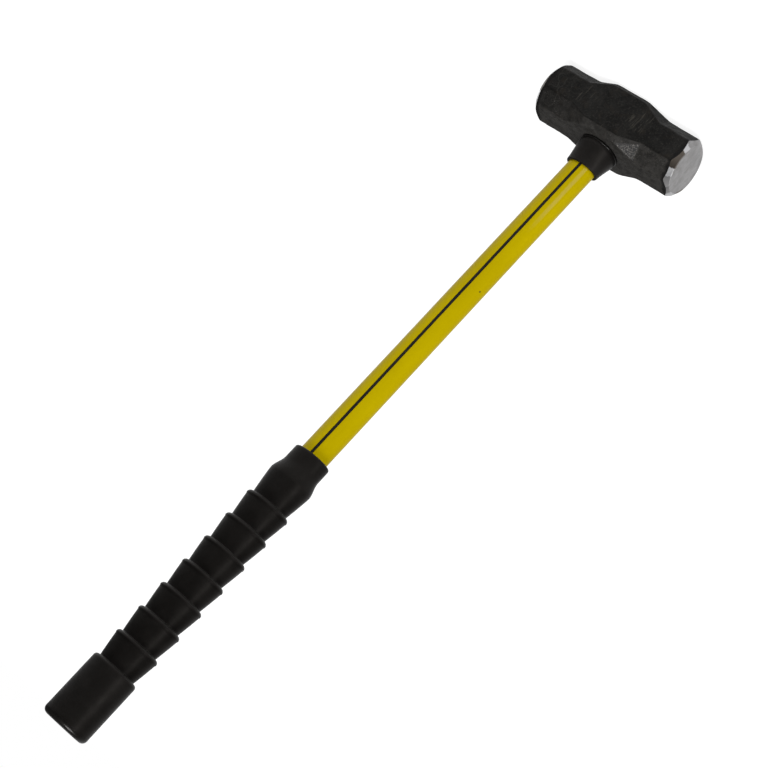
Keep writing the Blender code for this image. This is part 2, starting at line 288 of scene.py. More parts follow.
def section_radius(x, angles):
    """Distance from the head's axis to its forged surface at x, in each direction."""
    middle = float(smooth_step((MIDDLE_RUN_OUT - abs(x)) / (MIDDLE_RUN_OUT - MIDDLE_HALF_LENGTH)))
    near = abs(x) + np.linspace(-CORNER_RAMP_EASE, CORNER_RAMP_EASE, RAMP_SAMPLES)
    ramp_length = CORNER_RAMP_END - CORNER_RAMP_START
    uncut = float(np.clip((CORNER_RAMP_END - near) / ramp_length, 0, 1).mean())
    crisp = float(smooth_step((EDGES_SOFT - abs(x)) / (EDGES_SOFT - CORNER_RAMP_END)))
    half_width = mix(BAR_HALF_WIDTH, MIDDLE_HALF_WIDTH, middle)
    cut = mix(BAR_CORNER_CUT, MIDDLE_CORNER_CUT, uncut)
    radius = mix(BAR_EDGE_RADIUS, MIDDLE_EDGE_RADIUS, crisp)
    corners = []
    for sign_y, sign_z in ((1, 1), (-1, 1), (-1, -1), (1, -1)):
        on_cheek = Vector((sign_y * half_width, sign_z * (HALF_HEIGHT - cut)))
        on_flat = Vector((sign_y * (half_width - cut), sign_z * HALF_HEIGHT))
        corners += [on_cheek, on_flat] if sign_y * sign_z > 0 else [on_flat, on_cheek]
    ring = []
    for i, corner in enumerate(corners):
        back = (corners[i - 1] - corner).normalized()
        ahead = (corners[(i + 1) % 8] - corner).normalized()
        half_angle = back.angle(ahead) / 2
        centre = corner + (back + ahead).normalized() * radius / math.sin(half_angle)
        reach = radius / math.tan(half_angle)
        first = corner + back * reach - centre
        last = corner + ahead * reach - centre
        if ring:
            start = ring[-1]
            ring += [start.lerp(centre + first, k / FLAT_POINTS) for k in range(1, FLAT_POINTS)]
        for k in range(CORNER_POINTS):
            ring.append(centre + first.lerp(last, k / (CORNER_POINTS - 1)).normalized() * radius)
    ring += [ring[-1].lerp(ring[0], k / FLAT_POINTS) for k in range(1, FLAT_POINTS)]
    ring = np.array([tuple(point) for point in ring])
    turn = np.arctan2(ring[:, 1], ring[:, 0]) % TURN
    order = np.argsort(turn)
    return np.interp(angles, turn[order], np.hypot(ring[:, 0], ring[:, 1])[order], period=TURN)


def forging_dents(points):
    """How far the forged skin lies under its nominal surface."""
    rough = 0.5
    for wavelength, weight, seed in DENT_LAYERS:
        rough = rough + weight * waves(points, wavelength * MM, seed)
    x, y, z = points.T
    from_eye = np.hypot(x / SEAT_HALF_LENGTH, y / SEAT_HALF_WIDTH)
    off_seat = smooth_step((from_eye - 1) / SEAT_FADE)
    on_flat = smooth_step((np.abs(z - HALF_HEIGHT) / HALF_HEIGHT - FLAT_FROM) / FLAT_FADE)
    return DENT_DEPTH * np.clip(rough, 0, 1) * (1 - on_flat * (1 - off_seat))


def skin_points(xs, angles, radii):
    """Points of the head at xs along it, kept inside its box."""
    xs = np.broadcast_to(xs, angles.shape)
    y = np.clip(radii * np.cos(angles), -MIDDLE_HALF_WIDTH, MIDDLE_HALF_WIDTH)
    z = np.clip(HALF_HEIGHT + radii * np.sin(angles), 0, UNDERSIDE)
    return np.stack((xs, y, z), axis=1)


def dented_ring(xs, angles, radii):
    """The head's forged skin, dents included, at xs along it."""
    return skin_points(xs, angles, radii - forging_dents(skin_points(xs, angles, radii)))


def end_rings(side, angles):
    """Rings from the end of the body out to the striking face's middle."""
    bar = section_radius(EDGES_SOFT, angles)
    # where each line along the bar meets the ground cone, settled step by step
    reach = np.full(len(angles), HALF_LENGTH)
    for _ in range(SETTLING_STEPS):
        dents = forging_dents(skin_points(side * reach, angles, bar))
        reach = HALF_LENGTH - (bar - dents - FACE_RADIUS) * CHAMFER_DEPTH / CHAMFER_WIDTH
    rings = []
    for k in range(1, NECK_RINGS + 1):
        rings.append(dented_ring(side * mix(BODY_END, reach, k / NECK_RINGS), angles, bar))
    # the rounded edge between the cone and the face starts at the first of these bends
    slope = math.atan2(CHAMFER_DEPTH, CHAMFER_WIDTH)
    setback = FACE_EDGE_RADIUS * math.tan(slope / 2)
    edge = []
    for k in range(FACE_EDGE_RINGS + 1):
        bend = slope * (1 - k / FACE_EDGE_RINGS)
        x = HALF_LENGTH - FACE_EDGE_RADIUS * (1 - math.cos(bend))
        radius = FACE_RADIUS - setback + FACE_EDGE_RADIUS * math.sin(bend)
        edge.append(skin_points(side * x, angles, radius))
    start = rings[-1]
    rings += [mix(start, edge[0], k / CHAMFER_RINGS) for k in range(1, CHAMFER_RINGS + 1)]
    rings += edge[1:]
    rings += [skin_points(side * HALF_LENGTH, angles, radius * MM) for radius in FACE_RING_RADII]
    return rings


def head_rings(angles):
    """Rings along the head, from one striking face to the other, with the material slot of each."""
    body_x = np.concatenate((np.linspace(-BODY_END, -MIDDLE_RUN_OUT, END_RINGS)[:-1],
                             np.linspace(-MIDDLE_RUN_OUT, MIDDLE_RUN_OUT, MIDDLE_RINGS),
                             np.linspace(MIDDLE_RUN_OUT, BODY_END, END_RINGS)[1:]))
    body = [dented_ring(x, angles, section_radius(x, angles)) for x in body_x]
    left = end_rings(-1, angles)[::-1]
    right = end_rings(1, angles)
    rings = left + body + right
    ground = len(left) - NECK_RINGS
    forged = len(rings) - 1 - 2 * ground
    return np.array(rings), [GROUND] * ground + [FORGED] * forged + [GROUND] * (ground + 1)


def eye_axes(z):
    from_waist = np.abs(z - HALF_HEIGHT) / HALF_HEIGHT
    return mix(EYE_WAIST, EYE_MOUTH, smooth_step(from_waist)[..., None])


def build_eye_cutter():
    heights = np.linspace(EYE_CHAMFER, UNDERSIDE - EYE_CHAMFER, EYE_RINGS)
    flare = (EYE_MOUTH + 2 * EYE_CHAMFER)[None]
    axes = np.concatenate((flare, eye_axes(heights), flare))
    levels = np.concatenate(([-EYE_CHAMFER], heights, [UNDERSIDE + EYE_CHAMFER]))
    caps = ((0, 0, levels[0]), (0, 0, levels[-1]))
    mesh = grid_mesh("eye_cutter", ovals(axes, levels, EYE_AROUND), caps)
    return bpy.data.objects.new("eye_cutter", mesh)


def build_head(materials):
    angles = np.arange(HEAD_AROUND) * TURN / HEAD_AROUND
    rings, slots = head_rings(angles)
    caps = ((-HALF_LENGTH, 0, HALF_HEIGHT), (HALF_LENGTH, 0, HALF_HEIGHT))
    solid = bpy.data.objects.new("head_solid", grid_mesh("head_solid", rings, caps, slots=slots))
    for material in materials:
        solid.data.materials.append(material)
    cutter = build_eye_cutter()
    cutter.data.materials.append(materials[FORGED])
    for piece in (solid, cutter):
        bpy.context.scene.collection.objects.link(piece)
    cut = solid.modifiers.new("eye", "BOOLEAN")
    cut.operation = "DIFFERENCE"
    cut.solver = "EXACT"
    cut.object = cutter
    evaluated = solid.evaluated_get(bpy.context.evaluated_depsgraph_get())
    mesh = bpy.data.meshes.new_from_object(evaluated)  # it keeps the solid's materials
    bpy.data.objects.remove(solid)
    bpy.data.objects.remove(cutter)
    add_piece("forged_head", mesh, [], ["head"], sharp_angle=28)


# ---------------------------------------------------------------- eye fill


def build_epoxy(material):
    """The cast ring round the handle's end, with a meniscus that creeps up both walls."""
    around = 128
    wall_rings = 14
    steps = 12
    bottom = epoxy_low.z - MENISCUS
    wall_heights = np.linspace(epoxy_high.z, bottom, wall_rings)
    rows = [ovals(eye_axes(wall_heights) - GAP, wall_heights, around)]
    for k in range(1, steps):
        share = k / steps
        z = bottom - MENISCUS * (abs(2 * share - 1) ** 3 - 1)
        axes = mix(eye_axes(np.array(z)) - GAP, jacket_axes(z) + GAP, share)
        ring = ovals(axes[None], [z], around)
        ripple = waves(ring[0], RIPPLE_LENGTH, seed=11)
        ring[0, :, 2] += RIPPLE_DEPTH * ripple * math.sin(math.pi * share)
        rows.append(ring)
    rows.append(tube_round_jacket([(z, GAP) for z in wall_heights[::-1]], around))
    mesh = grid_mesh("cast_epoxy", np.concatenate(rows), loop=True)
    add_piece("cast_epoxy", mesh, [material], ["eye_epoxy"])


# ---------------------------------------------------------------- handle

NARROW_SIDE_POINTS = 58
EYE_END_RINGS = 8
GROOVE_RINGS = 80
BUTT_END_RINGS = 40
BORE_RINGS = 30
STRIPE_RINGS = 90
FIRST_RING = 4 * MM
RING_STEP = 0.02 * MM


def jacket_section(z, depth):
    """The jacket's outline at height z, with a rounded notch of this depth on both broad sides."""
    axes = jacket_axes(z)
    edge = GROOVE_HALF_WIDTH
    notch = [(-edge - lips * GROOVE_LIP, share) for lips, share in GROOVE_EDGE]
    notch += [(-edge / 2, 1), (0, 1)]
    notch += [(-x, share) for x, share in reversed(notch[:-1])]
    outline = []
    for side in (-1, 1):
        for x, share in notch:
            y = axes[1] * math.sqrt(1 - (x / axes[0]) ** 2) - depth * share
            outline.append((side * -x, side * y))
        start = math.acos((edge + GROOVE_LIP) / axes[0])
        for turn in np.linspace(start, -start, NARROW_SIDE_POINTS)[1:-1]:
            outline.append((side * -axes[0] * math.cos(turn), side * axes[1] * math.sin(turn)))
    return [(x, y, z) for x, y in outline]


def build_jacket(material):
    low, high = jacket_low.z, jacket_high.z
    groove_start = stripe_low.z - GAP
    groove_end = stripe_high.z + GAP
    eye_end = np.linspace(low + FIRST_RING, groove_start - RING_STEP, EYE_END_RINGS)
    grooved = np.linspace(groove_start, groove_end, GROOVE_RINGS)
    butt_end = np.linspace(groove_end + RING_STEP, high - JACKET_BEVEL, BUTT_END_RINGS)
    heights = [(low + JACKET_BEVEL, 0)] + [(z, 0) for z in eye_end]
    heights += [(z, GROOVE_DEPTH) for z in grooved] + [(z, 0) for z in butt_end]
    outer = np.array([jacket_section(z, depth) for z, depth in heights])
    axes = jacket_axes(low)
    turns = np.arctan2(outer[0, :, 1] / axes[1], outer[0, :, 0] / axes[0])
    bore_axes = CORE + GAP

    def bore_ring(z):
        ring = (bore_axes[0] * np.cos(turns), bore_axes[1] * np.sin(turns), np.full(len(turns), z))
        return np.stack(ring, axis=1)

    def end_ring(source, z):
        ring = source.copy()
        ring[:, :2] *= 1 - JACKET_BEVEL / jacket_axes(z)[0]
        ring[:, 2] = z
        return ring[None]

    bore = np.array([bore_ring(z) for z in np.linspace(high, low, BORE_RINGS)])
    rows = np.concatenate((end_ring(outer[0], low), outer, end_ring(outer[-1], high), bore))
    mesh = grid_mesh("yellow_jacket", rows, loop=True)
    add_piece("yellow_jacket", mesh, [material], ["handle_jacket"], sharp_angle=40)


def build_stripe(name, side, material):
    """A thin strip with rounded upper edges, lying in its groove."""
    half = STRIPE_HALF_WIDTH
    low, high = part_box(name)
    floor = GROOVE_DEPTH - GAP
    top = floor - STRIPE_THICKNESS
    section = [(-half, floor), (-half, top + STRIPE_EDGE_RADIUS)]
    for across, down in quarter_turn(3)[1:]:
        section.append((-half + STRIPE_EDGE_RADIUS * across, top + STRIPE_EDGE_RADIUS * down))
    section += [(-half / 2, top), (0, top)]
    section += [(-x, depth) for x, depth in reversed(section[:-1])]
    section += [(half / 2, floor), (0, floor), (-half / 2, floor)]
    rows = []
    for z in np.linspace(low.z, high.z, STRIPE_RINGS):
        surface = jacket_axes(z)[1]
        rows.append([(x, side * (surface - depth), z) for x, depth in section])
    middle = floor - STRIPE_THICKNESS / 2
    caps = [(0, side * (jacket_axes(z)[1] - middle), z) for z in (low.z, high.z)]
    mesh = grid_mesh(name + "_strip", rows, caps)
    add_piece(name + "_strip", mesh, [material], [name])


# ---------------------------------------------------------------- collar

RUBBER_AROUND = 160
COLLAR_BODY_RINGS = 40
COLLAR_BORE_RINGS = 24


def build_collar(material):
    """A flared collar with a small lip round its foot."""
    around = RUBBER_AROUND
    foot = collar_low.z
    rim = collar_high.z
    body_top = rim - COLLAR_RIM_RADIUS
    lip_top = foot + COLLAR_LIP_HEIGHT
    rings = []

    def add_ring(z, widen, dark=0.0, shine=0.0):
        """A ring of the outside, widened past the flared body, with how much painted shade darkens it and
        how shiny it is.
        """
        at = min(z, body_top)
        share = min(max(rim - at, 0) / (rim - COLLAR_FLARE_END), 1)
        axes = jacket_axes(at) + COLLAR_WALL + COLLAR_FLARE * share**COLLAR_FLARE_EASE + widen
        rings.append((ovals(axes[None], [z], around)[0], dark, shine))

    # the foot, its lip and the notch above it are fully darkened by painted shade
    for up, out in quarter_turn(4):
        add_ring(foot + COLLAR_FOOT_RADIUS * up, COLLAR_LIP_WIDTH - COLLAR_FOOT_RADIUS * out, 1)
    for out, up in quarter_turn(4):
        add_ring(lip_top - COLLAR_LIP_RADIUS * up, COLLAR_LIP_WIDTH - COLLAR_LIP_RADIUS * out, 1, 1)
    add_ring(lip_top + COLLAR_NOTCH_HEIGHT, -COLLAR_NOTCH_DEPTH, 1)
    # above the lip the painted shade fades out up the body
    for z in np.linspace(lip_top + COLLAR_LIP_WIDTH, body_top, COLLAR_BODY_RINGS):
        add_ring(z, 0, float(smooth_step((foot + COLLAR_PAINTED_SHADE_HEIGHT - z) / COLLAR_PAINTED_SHADE_FADE)))
    for out, up in quarter_turn(7)[1:]:
        add_ring(rim - COLLAR_RIM_RADIUS * up, -COLLAR_RIM_RADIUS * out)

    bevel_down, bevel_out = COLLAR_BORE_BEVEL
    bore_heights = np.linspace(rim - bevel_down, foot, COLLAR_BORE_RINGS)
    bore = [(rim, GAP + bevel_out)] + [(z, GAP) for z in bore_heights]
    rings += [(ring, 0, 0) for ring in tube_round_jacket(bore, around)]
    rows, dark, shine = zip(*rings)
    # the "foot" mark carries the painted shade
    marks = {"foot": np.repeat(dark, around), "shine": np.repeat(shine, around)}
    mesh = grid_mesh("rubber_collar", rows, loop=True, attributes=marks)
    add_piece("rubber_collar", mesh, [material], ["collar"], sharp_angle=50)


# ---------------------------------------------------------------- grip

LIP_RINGS = 8
RISE_RINGS = 16
SLOPE_RINGS = 18
PALM_RINGS = 22
BUTT_STEPS = 12
GRIP_BORE_RINGS = 40
BUTT_RING_SHARES = (0.85, 0.65, 0.45, 0.25, 0.1)
SLOPE_END = 0.96
SLOPE_EASE = 1.15
RIB_END = 0.975
RIB_EDGE_STEPS = 9
# Dust and painted sheen on the rounded rib edges, their fillets and the butt's edge
RIM_DUST_AND_SHEEN_SHIFT = 1.15
RIM_DUST_AND_SHEEN_POWER = 1.5
FILLET_DUST_AND_SHEEN = 0.15
BUTT_DUST_AND_SHEEN = 0.3
BUTT_FLAT = 0.05 * MM


def grip_profile():
    """(height, distance off the jacket, rim dust and painted sheen) along the grip's outside, from lip to
    butt.
    """
    points = []

    def wall(at, height, radius, below):
        """A step up to height: a fillet from the surface below, if any, then a rounded edge."""
        if below is not None:
            for out, up in quarter_turn(4):
                points.append((at - RIB_FILLET * up, below + RIB_FILLET * out, FILLET_DUST_AND_SHEEN))
        for k, (along, down) in enumerate(quarter_turn(RIB_EDGE_STEPS)):
            across = min(k / RIB_EDGE_STEPS * RIM_DUST_AND_SHEEN_SHIFT, 1)
            rim_dust_and_sheen = math.sin(across * math.pi) ** RIM_DUST_AND_SHEEN_POWER
            points.append((at + radius * along, height - radius * down, rim_dust_and_sheen))

    start = grip_low.z
    wall(start, GRIP_LIP, GRIP_LIP_RADIUS, None)
    rise = start + GRIP_LIP_LENGTH
    for z in np.linspace(start + GRIP_LIP_RADIUS + MM, rise, LIP_RINGS):
        points.append((z, GRIP_LIP, 0))
    for share in np.linspace(0, 1, RISE_RINGS)[1:]:
        z = mix(rise, GRIP_SWELL_PEAK, share)
        points.append((z, mix(GRIP_LIP, GRIP_SWELL, float(smooth_step(share))), 0))
    for share in np.linspace(0, SLOPE_END, SLOPE_RINGS)[1:]:
        z = mix(GRIP_SWELL_PEAK, RIB_START, share)
        points.append((z, mix(GRIP_SWELL, GRIP_NECK, share**SLOPE_EASE), 0))
    below = GRIP_NECK
    for rib in range(RIB_COUNT):
        at = RIB_START + rib * RIB_PITCH
        wall(at + WALL_LEAN, RIB_HEIGHT, RIB_EDGE_RADIUS, below)
        first = (WALL_LEAN + RIB_EDGE_RADIUS) / RIB_PITCH
        for share in np.linspace(first, RIB_END, SLOPE_RINGS)[1:]:
            height = mix(RIB_HEIGHT, RIB_VALLEY, share) + RIB_BULGE * math.sin(math.pi * share)
            points.append((at + RIB_PITCH * share, height, 0))
        below = RIB_VALLEY
    palm = RIB_START + RIB_COUNT * RIB_PITCH
    wall(palm + WALL_LEAN, PALM_HEIGHT, RIB_EDGE_RADIUS, below)
    for z in np.linspace(palm + RIB_EDGE_RADIUS + MM, OVERALL - BUTT_RADIUS, PALM_RINGS):
        points.append((z, PALM_HEIGHT, 0))
    for k, (down, short) in enumerate(quarter_turn(BUTT_STEPS)[1:], 1):
        rim_dust_and_sheen = BUTT_DUST_AND_SHEEN * math.sin(math.pi * k / BUTT_STEPS)
        points.append((OVERALL - BUTT_RADIUS * short, PALM_HEIGHT - BUTT_RADIUS * down, rim_dust_and_sheen))
    return points


def build_grip(material):
    around = RUBBER_AROUND
    profile = grip_profile()
    outer = tube_round_jacket([(z, height) for z, height, _ in profile], around)
    butt = []
    for share in BUTT_RING_SHARES:
        ring = outer[-1].copy()
        ring[:, :2] *= share
        butt.append(ring)
    pocket_end = jacket_high.z + GAP
    bore_heights = np.linspace(pocket_end, grip_low.z + GRIP_MOUTH_BEVEL, GRIP_BORE_RINGS)
    bore = [(z, GAP) for z in bore_heights] + [(grip_low.z, GAP + GRIP_MOUTH_BEVEL)]
    rows = np.concatenate((tube_round_jacket(bore, around), outer, butt))
    # dust and painted sheen along the outside, carried by the "rim" mark
    rim = [0] * len(bore) + [rim_dust_and_sheen for _, _, rim_dust_and_sheen in profile] + [0] * len(butt)
    z = rows[:, :, 2]
    # the butt's rounded edge shines, and its flat end doesn't
    shine = np.clip((z - OVERALL + BUTT_RADIUS) / BUTT_RADIUS, 0, 1) * (z < OVERALL - BUTT_FLAT)
    marks = {"rim": np.repeat(rim, around), "shine": shine}
    caps = ((0, 0, pocket_end), (0, 0, OVERALL))
    mesh = grid_mesh("ribbed_grip", rows, caps, attributes=marks)
    add_piece("ribbed_grip", mesh, [material], ["grip"], sharp_angle=50)


# ---------------------------------------------------------------- materials


class Surface:
    """A material's node tree, built up from small steps."""

    def __init__(self, name):
        self.material = bpy.data.materials.new(name)
        self.material.use_nodes = True
        self.tree = self.material.node_tree
        self.shader = self.tree.nodes["Principled BSDF"]
        self.coordinates = self.tree.nodes.new("ShaderNodeTexCoord").outputs

    def set(self, **values):
        for key, value in values.items():
            self.shader.inputs[key.replace("_", " ")].default_value = value

    def join(self, source, target):
        self.tree.links.new(source, target)

    def feed(self, name, source):
        self.join(source, self.shader.inputs[name])

    def rough(self, pattern, low, high):
        """Roughness from low to high across the middle of a pattern."""
        self.feed("Roughness", self.remap(pattern, 0.3, 0.7, low, high, "LINEAR"))

    def stretched(self, stretch, turn):
        mapping = self.tree.nodes.new("ShaderNodeMapping")
        mapping.inputs["Rotation"].default_value = [math.radians(a) for a in turn]
        mapping.inputs["Scale"].default_value = stretch
        self.join(self.coordinates["Object"], mapping.inputs["Vector"])
        return mapping.outputs["Vector"]

    def noise(self, size, detail, roughness, stretch=None, turn=(0, 0, 0)):
        """A cloudy pattern with features about this size, 0 to 1."""
        texture = self.tree.nodes.new("ShaderNodeTexNoise")
        texture.inputs["Scale"].default_value = 1 / size
        texture.inputs["Detail"].default_value = detail
        texture.inputs["Roughness"].default_value = roughness
        source = self.stretched(stretch, turn) if stretch else self.coordinates["Object"]
        self.join(source, texture.inputs["Vector"])
        return texture.outputs["Fac"]

    def cells(self, size):
        """Distance to the nearest of many scattered points, about this size apart."""
        texture = self.tree.nodes.new("ShaderNodeTexVoronoi")
        texture.inputs["Scale"].default_value = 1 / size
        self.join(self.coordinates["Object"], texture.inputs["Vector"])
        return texture.outputs["Distance"]

    def attribute(self, name):
        node = self.tree.nodes.new("ShaderNodeAttribute")
        node.attribute_name = name
        return node.outputs["Fac"]

    def axis(self, name, of="Object"):
        """One coordinate of the place on the piece, or with of="Normal", of where it faces."""
        node = self.tree.nodes.new("ShaderNodeSeparateXYZ")
        self.join(self.coordinates[of], node.inputs["Vector"])
        return node.outputs[name]

    def remap(self, source, low, high, to_low=0.0, to_high=1.0, kind="SMOOTHSTEP"):
        node = self.tree.nodes.new("ShaderNodeMapRange")
        node.interpolation_type = kind
        limits = (("From Min", low), ("From Max", high), ("To Min", to_low), ("To Max", to_high))
        for key, value in limits:
            node.inputs[key].default_value = value
        self.join(source, node.inputs["Value"])
        return node.outputs["Result"]

    def fill(self, slot, value):
        """Set a node's input to a number or colour, or join it to another node's output."""
        if isinstance(value, tuple):
            slot.default_value = (*value, 1)
        elif isinstance(value, (int, float)):
            slot.default_value = value
        else:
            self.join(value, slot)

    def maths(self, operation, a, b=0.0):
        node = self.tree.nodes.new("ShaderNodeMath")
        node.operation = operation
        self.fill(node.inputs[0], a)
        self.fill(node.inputs[1], b)
        return node.outputs["Value"]

    def times(self, a, b):
        return self.maths("MULTIPLY", a, b)

    def minus(self, source):
        return self.times(source, -1.0)

    def band(self, source, centre, half_width, fade):
        """1 within half_width of centre, falling to 0 over fade."""
        away = self.maths("ABSOLUTE", self.maths("SUBTRACT", source, centre))
        return self.remap(away, half_width, half_width + fade, 1.0, 0.0)

    def blend(self, share, a, b):
        node = self.tree.nodes.new("ShaderNodeMix")
        node.data_type = "RGBA"
        self.fill(node.inputs["Factor"], share)
        self.fill(node.inputs[6], a)
        self.fill(node.inputs[7], b)
        return node.outputs[2]

    def bump(self, height, distance, normal=None):
        node = self.tree.nodes.new("ShaderNodeBump")
        node.inputs["Distance"].default_value = distance
        self.join(height, node.inputs["Height"])
        if normal:
            self.join(normal, node.inputs["Normal"])
        return node.outputs["Normal"]


def forge_scale():
    """Black forging scale: mottled, pitted, painted lighter where it faces the handle, with a painted
    highlight on one facet and a few dressing marks.
    """
    s = Surface("forge_scale")
    x = s.axis("X")
    z = s.axis("Z")
    clouds = s.remap(s.noise(16 * MM, 6, 0.65), 0.38, 0.64)
    colour = s.blend(clouds, (0.003, 0.0028, 0.0025), (0.0085, 0.008, 0.0073))
    grains = s.remap(s.noise(1.5 * MM, 5, 0.75), 0.5, 0.7, 0, 0.9)
    colour = s.blend(grains, colour, (0.027, 0.0252, 0.0222))
    warm = s.times(s.remap(s.noise(9 * MM, 4, 0.6), 0.52, 0.7), 0.5)
    colour = s.blend(warm, colour, (0.015, 0.0118, 0.0085))
    # loose scale lifting in thin squiggles near one end
    squiggle = s.band(s.noise(16 * MM, 1, 0.4), 0.5, 0.004, 0.012)
    squiggle = s.times(squiggle, s.remap(x, 52 * MM, 60 * MM, 0, 0.32))
    colour = s.blend(squiggle, colour, (0.04, 0.038, 0.035))
    # painted light: the flats facing the handle are painted greyer than the cheeks, mottled, less so at
    # one corner
    upward = s.axis("Z", "Normal")
    towards_handle = s.remap(upward, 0.35, 0.85)
    painted_light_on_flats = s.times(towards_handle, s.remap(s.noise(7 * MM, 5, 0.7), 0.33, 0.67, 0.3, 0.95))
    dimmer_corner = s.times(s.remap(x, 25 * MM, 55 * MM), s.remap(upward, 0.8, 0.93, 0.65, 0.0))
    painted_light_on_flats = s.times(painted_light_on_flats, s.maths("SUBTRACT", 1.0, dimmer_corner))
    colour = s.blend(painted_light_on_flats, colour, (0.041, 0.039, 0.0367))
    bare = s.times(towards_handle, s.remap(s.noise(1.1 * MM, 3, 0.7), 0.55, 0.68))
    patches = s.remap(s.noise(10 * MM, 3, 0.6), 0.42, 0.6)
    colour = s.blend(s.times(bare, s.times(patches, 0.6)), colour, (0.11, 0.104, 0.097))
    # a painted highlight on one of the flat triangles beside the collar, speckled with brighter flecks
    ramp = s.band(x, -33 * MM, 9 * MM, 3 * MM)
    corner = s.remap(s.minus(s.axis("X", "Normal")), 0.22, 0.3)
    front = s.remap(s.minus(s.axis("Y")), 8 * MM, 12 * MM)
    painted_highlight_patch = s.times(s.times(ramp, corner), front)
    painted_highlight_patch = s.times(painted_highlight_patch, s.times(towards_handle, s.remap(z, 38 * MM, 44 * MM)))
    above_edge = s.maths("SUBTRACT", z, s.times(x, 0.55))
    painted_highlight_patch = s.times(painted_highlight_patch, s.remap(above_edge, 67.6 * MM, 68.8 * MM))
    colour = s.blend(s.times(painted_highlight_patch, 0.85), colour, (0.045, 0.0445, 0.0458))
    highlight_flecks = s.times(s.remap(s.noise(1.3 * MM, 3, 0.7), 0.48, 0.62),
                     s.remap(s.noise(8 * MM, 2, 0.5), 0.35, 0.5, 0.35, 1.0))
    colour = s.blend(s.times(painted_highlight_patch, s.times(highlight_flecks, 0.8)), colour, (0.21, 0.2, 0.185))
    # fine scratches across the cheeks, and a group of dressing marks
    fine = s.noise(2.4 * MM, 2, 0.5, stretch=(1, 1, 0.06), turn=(0, 14, 0))
    where = s.remap(s.noise(24 * MM, 2, 0.5), 0.48, 0.64)
    scratches = s.times(s.remap(fine, 0.62, 0.7), where)
    group = s.times(s.band(x, -24 * MM, 9 * MM, 6 * MM), s.band(z, 27 * MM, 6 * MM, 8 * MM))
    dressed = s.remap(s.noise(1.5 * MM, 2, 0.5, stretch=(1, 1, 0.1), turn=(0, 6, 0)), 0.56, 0.64)
    marks = s.maths("MAXIMUM", scratches, s.times(dressed, group))
    colour = s.blend(s.times(marks, 0.42), colour, (0.06, 0.055, 0.045))
    # burnt darker next to the ground ends
    ragged_x = s.maths("ADD", s.maths("ABSOLUTE", x), s.times(s.noise(5 * MM, 4, 0.6), 5 * MM))
    burnt = s.remap(ragged_x, 78.5 * MM, 81.5 * MM, 0, 0.85)
    colour = s.blend(burnt, colour, (0.004, 0.0038, 0.0036))
    s.feed("Base Color", colour)
    s.rough(s.noise(5 * MM, 5, 0.6), 0.5, 0.7)
    s.set(Metallic=0.0, Specular_IOR_Level=0.1)
    skin = s.bump(s.noise(5 * MM, 6, 0.62), 0.6 * MM)
    skin = s.bump(s.remap(s.cells(2.2 * MM), 0.1, 0.45), 0.12 * MM, skin)
    s.feed("Normal", s.bump(marks, 0.05 * MM, skin))
    return s.material


# Hand-ground chamfer facets. For each, its direction and half-width, in degrees round the head
# from the front cheek, the distance from the head's axis at which it starts, in mm, and its colour.
# The grey colours are painted reflections, the brightest a painted highlight; the two browns are darker
CHAMFER_FACETS = (
    (-12, 7, 25.6, (0.45, 0.45, 0.46)),
    (17, 19, 23.9, (0.085, 0.073, 0.062)),
    (47, 8, 25.8, (0.85, 0.85, 0.86)),
    (69, 11, 25.8, (0.4, 0.395, 0.395)),
    (150, 12, 24.5, (0.12, 0.105, 0.09)),
    (205, 11, 25.8, (0.45, 0.45, 0.46)),
    (118, 9, 25.8, (0.42, 0.42, 0.43)),
)
FACET_FADE = math.radians(2.5)
FACET_DEPTH_FADE = 0.3
FACET_RAGGED_TURN = 0.16
FACET_RAGGED_DEPTH = 3 * MM


def ground_steel():
    """Belt-ground striking faces with hand-ground chamfers, whose facets carry painted reflections: most
    bright, two darker brown.
    """
    s = Surface("ground_steel")
    y = s.axis("Y")
    z = s.maths("SUBTRACT", s.axis("Z"), HALF_HEIGHT)
    lines = s.noise(0.9 * MM, 3, 0.6, stretch=(1, 1, 0.05), turn=(24, 0, 0))
    clouds = s.remap(s.noise(9 * MM, 5, 0.6), 0.3, 0.7)
    colour = s.blend(clouds, (0.197, 0.193, 0.193), (0.266, 0.262, 0.263))
    stain = s.remap(s.noise(7 * MM, 5, 0.65), 0.55, 0.72, 0, 0.3)
    colour = s.blend(stain, colour, (0.12, 0.105, 0.09))
    ragged = s.maths("SUBTRACT", s.noise(3 * MM, 3, 0.6), 0.5)
    angle = s.maths("ADD", s.maths("ARCTAN2", z, s.minus(y)), s.times(ragged, FACET_RAGGED_TURN))
    from_axis = s.maths("SQRT", s.maths("ADD", s.times(y, y), s.times(z, z)))
    from_axis = s.maths("ADD", from_axis, s.times(ragged, FACET_RAGGED_DEPTH))
    # each chamfer facet's colour paints the reflection it shows
    for centre, half_width, inner, paint in CHAMFER_FACETS:
        facet = s.band(angle, math.radians(centre), math.radians(half_width), FACET_FADE)
        start, end = (inner - FACET_DEPTH_FADE) * MM, (inner + FACET_DEPTH_FADE) * MM
        outside = s.remap(from_axis, start, end)
        colour = s.blend(s.times(facet, outside), colour, paint)
    s.feed("Base Color", colour)
    s.rough(lines, 0.34, 0.5)
    s.set(Metallic=1.0)
    skin = s.bump(lines, 0.05 * MM)
    s.feed("Normal", s.bump(s.noise(0.7 * MM, 3, 0.6), 0.04 * MM, skin))
    return s.material


